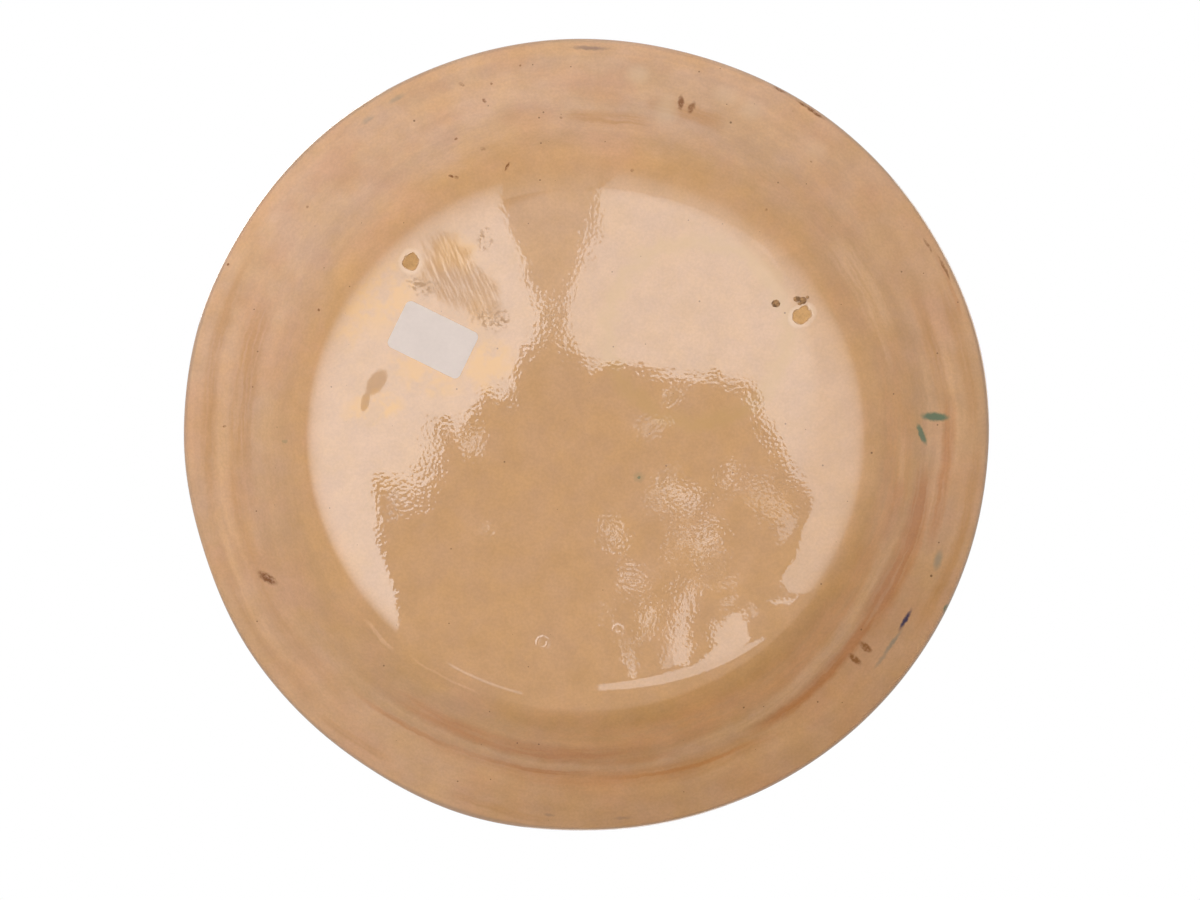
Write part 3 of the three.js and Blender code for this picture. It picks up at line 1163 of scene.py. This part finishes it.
def glazeFinish(name, under):
    finish, tree, shader = newFinish(name)
    place = objectPlace(tree)
    ring = ringParts(tree, place)
    look = glazeLook

    # colour, from the broad zones to the fine brush streaks, with a painted sheen and a few painted
    # highlights among them
    wall = ramp(tree, ring["drift"], 0.082, 0.094)
    colour = tint(tree, wall, look["ochre"], look["wall"])
    flange = ramp(tree, ring["drift"], 0.104, 0.112)
    colour = tint(tree, flange, colour, look["flange"])
    # painted sheen: the wall and flange are paler and whiter towards the upper left, where the light falls
    # and white is mirrored
    upper = ramp(tree, facing(tree, ring, 240), -0.1, 0.95)
    upper = times(tree, upper, ramp(tree, ring["drift"], 0.088, 0.108))
    colour = tint(tree, upper, colour, look["paintedSheen"])
    haze = ramp(tree, grain(tree, place, 0.024, 3, 0.55), 0.42, 0.68, 0, 0.5)
    colour = tint(tree, times(tree, haze, wall), colour, look["rose"])
    broad = ramp(tree, streaks(tree, ring, 1.6, 0.009, 3.0), 0.3, 0.7, 0.955, 1.045)
    colour = tint(tree, wall, colour, broad, "MULTIPLY")
    if under:
        hairs = ramp(tree, streaks(tree, ring, 4.0, 0.0015, 23.0, 3), 0.32, 0.6, 0.45, 1.0)
        # brush strokes, with painted highlights among the cream ones
        for stroke in brushAndHighlightStrokes.values():
            mask = times(tree, strokeMask(tree, ring, stroke["strokes"]), hairs)
            colour = tint(tree, mask, colour, stroke["colour"])
    fine = ramp(tree, streaks(tree, ring, 5.0, 0.0012, 41.0, 3), 0.3, 0.7, 0.985, 1.015)
    colour = tint(tree, wall, colour, fine, "MULTIPLY")
    cloud = ramp(tree, grain(tree, place, 0.009, 4, 0.6), 0.3, 0.7, 0.95, 1.045)
    colour = tint(tree, 1.0, colour, cloud, "MULTIPLY")
    dust = ramp(tree, grain(tree, place, 0.0009, 3, 0.6), 0.3, 0.7, 0.955, 1.04)
    colour = tint(tree, 1.0, colour, dust, "MULTIPLY")
    hue = ramp(tree, grain(tree, moved(tree, place, (0.05, 0.02, 0)), 0.014, 4, 0.6), 0.3, 0.7)
    colour = tint(tree, 1.0, colour, tint(tree, hue, look["sallow"], look["pinkish"]), "MULTIPLY")

    # gloss and the orange peel of the fired surface
    rough = ramp(tree, grain(tree, place, 0.006, 2), 0.3, 0.7, look["gloss"] * 0.75, look["gloss"] * 1.3)
    peel = times(tree, grain(tree, place, 0.0011, 0), look["peel"])
    if under:
        coarse = calc(tree, "ADD", spotMask(tree, place, peelPatches, 0.4), 1.0)
        peel = times(tree, peel, coarse)
    height = calc(tree, "MULTIPLY_ADD", grain(tree, place, 0.009, 1), look["wave"], peel)
    brushed = streaks(tree, ring, 3.0, 0.0022, 57.0)
    height = calc(tree, "MULTIPLY_ADD", times(tree, brushed, wall), 2.5e-5, height)

    frayed = ragged(tree, place, 0.0014, 0.0011)
    if under:
        torn = ragged(tree, place, 0.005, 0.008)
        lace = ramp(tree, grain(tree, place, 0.009, 3, 0.6), 0.36, 0.56, 0.2, 1.0)
        gold = spotMask(tree, torn, baseMarks["gold"]["spots"], baseMarks["gold"]["soft"])
        colour = tint(tree, times(tree, gold, lace), colour, baseMarks["gold"]["colour"])
        scratches = grain(tree, moved(tree, place, turn=scratchTurn, size=(0.009, 0.0008, 1)), 1.0, 4)
        scratched = ramp(tree, scratches, 0.34, 0.6, 0.15, 1.0)
        worn = times(tree, spotMask(tree, torn, scuffs, 0.35), scratched)
        worn = calc(tree, "MAXIMUM", worn, spotMask(tree, frayed, dullSpots, 0.3))
        pits = ramp(tree, grain(tree, place, 0.0012, 2, 0.6), 0.46, 0.62)
        pits = times(tree, pits, spotMask(tree, torn, pittedSpots, 0.4))
        worn = calc(tree, "MAXIMUM", worn, pits)
        rough = calc(tree, "MULTIPLY_ADD", worn, look["matte"], rough)
        colour = tint(tree, times(tree, worn, 0.4), colour, look["worn"])
        colour = tint(tree, times(tree, pits, 0.45), colour, look["pit"])
        # painted dip in the reflection: a faint darker arc across the mirrored light on the right half of the
        # base
        out = reach(tree, moved(tree, torn, [side * mm for side in paintedReflectionDip["centre"]] + [0]))
        off = calc(tree, "ABSOLUTE", calc(tree, "SUBTRACT", out, paintedReflectionDip["radius"] * mm))
        faint = ramp(tree, off, paintedReflectionDip["width"] * mm, 0, 0, paintedReflectionDip["share"])
        faint = times(tree, faint, ramp(tree, facing(tree, ring, -40), 0.1, 0.6))
        colour = tint(tree, faint, colour, paintedReflectionDip["colour"])
        # a paler rim round each stilt scar: partly the broken glaze's own colour, partly a painted glint on
        # the broken edge
        rings = [(*s["place"], s["size"][0] + 2.2, s["size"][1] + 2.2, s["turn"], 0.4) for s in stiltScars]
        colour = tint(tree, spotMask(tree, frayed, rings, 0.15), colour, look["pale"])
    kinds = ("cloudy", "slate", "blue", "green", "pinBrown")
    colour = markSpots(tree, frayed, ring, colour, kinds, not under)

    tiny = pinholes(tree, place, 0.013, 0.14, 0.34, 0.35)
    big = pinholes(tree, moved(tree, place, (0.013, 0.007, 0)), 0.05, 0.28, 0.5, 0.3)
    holes = calc(tree, "MAXIMUM", times(tree, tiny, 0.7), times(tree, big, 0.8))
    colour = tint(tree, holes, colour, look["speck"])
    # the outer edge of the lip is darker and greyer: partly its own colour, partly painted shade where the
    # edge turns away from the light
    lipEdge = ramp(tree, ring["radius"], 0.1286, 0.1299, 0, 0.55)
    colour = tint(tree, lipEdge, colour, look["edge"])

    shader.inputs["IOR"].default_value = 1.5
    joinFinish(tree, shader, colour, rough, height)
    return finish


def plainFinish(name, look):
    finish, tree, shader = newFinish(name)
    place = objectPlace(tree)
    size = look["size"]
    cloud = ramp(tree, grain(tree, place, size, 4, 0.6), 0.3, 0.7)
    colour = tint(tree, cloud, look["dark"], look["light"])
    dust = ramp(tree, grain(tree, place, size * 0.15, 2), 0.3, 0.7, 1 - look["dust"], 1 + look["dust"])
    colour = tint(tree, 1.0, colour, dust, "MULTIPLY")
    height = times(tree, grain(tree, place, size * 0.2, 3), look["depth"])
    joinFinish(tree, shader, colour, look["rough"], height)
    return finish


plainLooks = {
    "bareClay": {
        "dark": (0.47, 0.251, 0.09), "light": (0.615, 0.345, 0.137), "dust": 0.06,
        "size": 0.003, "rough": 0.85, "depth": 2e-4,
    },
    "labelPaper": {
        "dark": (0.675, 0.562, 0.492), "light": (0.70, 0.585, 0.512), "dust": 0.012,
        "size": 0.008, "rough": 0.8, "depth": 4e-6,
    },
    "stiltGrit": {
        "dark": (0.14, 0.065, 0.022), "light": (0.44, 0.23, 0.09), "dust": 0.06,
        "size": 0.0012, "rough": 0.8, "depth": 2e-4,
    },
}
backGlaze.data.materials.append(glazeFinish("honeyGlazeUnder", True))
faceGlaze.data.materials.append(glazeFinish("honeyGlazeFace", False))
for piece, name in ((clayBody, "bareClay"), (paperLabel, "labelPaper"), (stiltCrumbs, "stiltGrit")):
    piece.data.materials.append(plainFinish(name, plainLooks[name]))
print("finishes laid")


for piece, node, slotName in (
    (backGlaze, "back_glaze", "back_glaze"),
    (faceGlaze, "face_glaze", "face_glaze"),
    (clayBody, "clay_body", "clay"),
    (paperLabel, "paper_label", "label"),
):
    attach(piece, "root")
    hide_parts(node)
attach(stiltCrumbs, "root")
